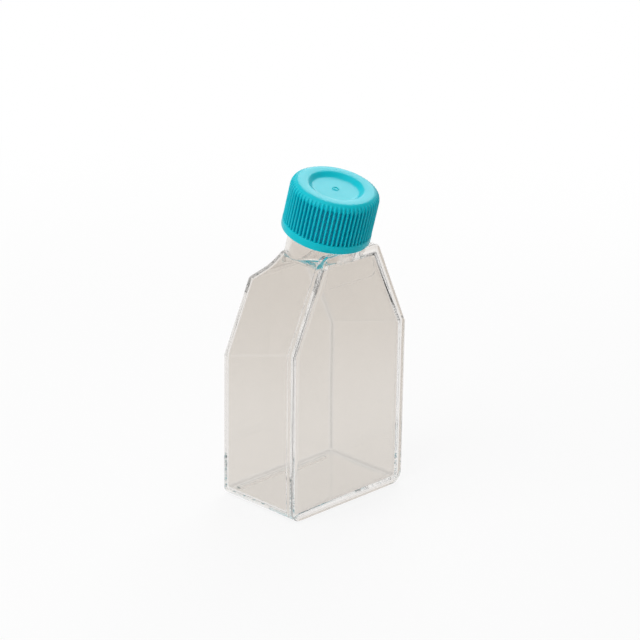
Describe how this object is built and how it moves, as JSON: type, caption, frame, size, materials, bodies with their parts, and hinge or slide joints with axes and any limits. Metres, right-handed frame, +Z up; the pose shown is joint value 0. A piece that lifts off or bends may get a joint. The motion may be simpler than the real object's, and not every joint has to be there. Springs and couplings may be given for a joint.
{
  "type": "cell culture flask",
  "caption": "Small clear culture flask with slanted shoulders, a framed cover plate, a canted round neck and a ribbed turquoise plug-seal screw cap.",
  "frame": {"origin": "on the surface that the flask stands on, under the middle of its box", "axes": "+Z up along the flask's length, +Y towards the growth face, X across its width"},
  "size_m": [0.046, 0.0354, 0.0983],
  "materials": {
    "clear_plastic": "clear moulded plastic, polished",
    "cap_plastic": "opaque moulded plastic, satin"
  },
  "bodies": {
    "flask": {"flask_body": "clear_plastic", "cover_plate": "clear_plastic"},
    "cap": {"cap": "cap_plastic"}
  },
  "joints": [
    {"name": "cap_lift", "type": "slide", "parent": "flask", "child": "cap", "axis": [0, -0.2622, 0.965], "range_m": [0, 0.03]}
  ]
}
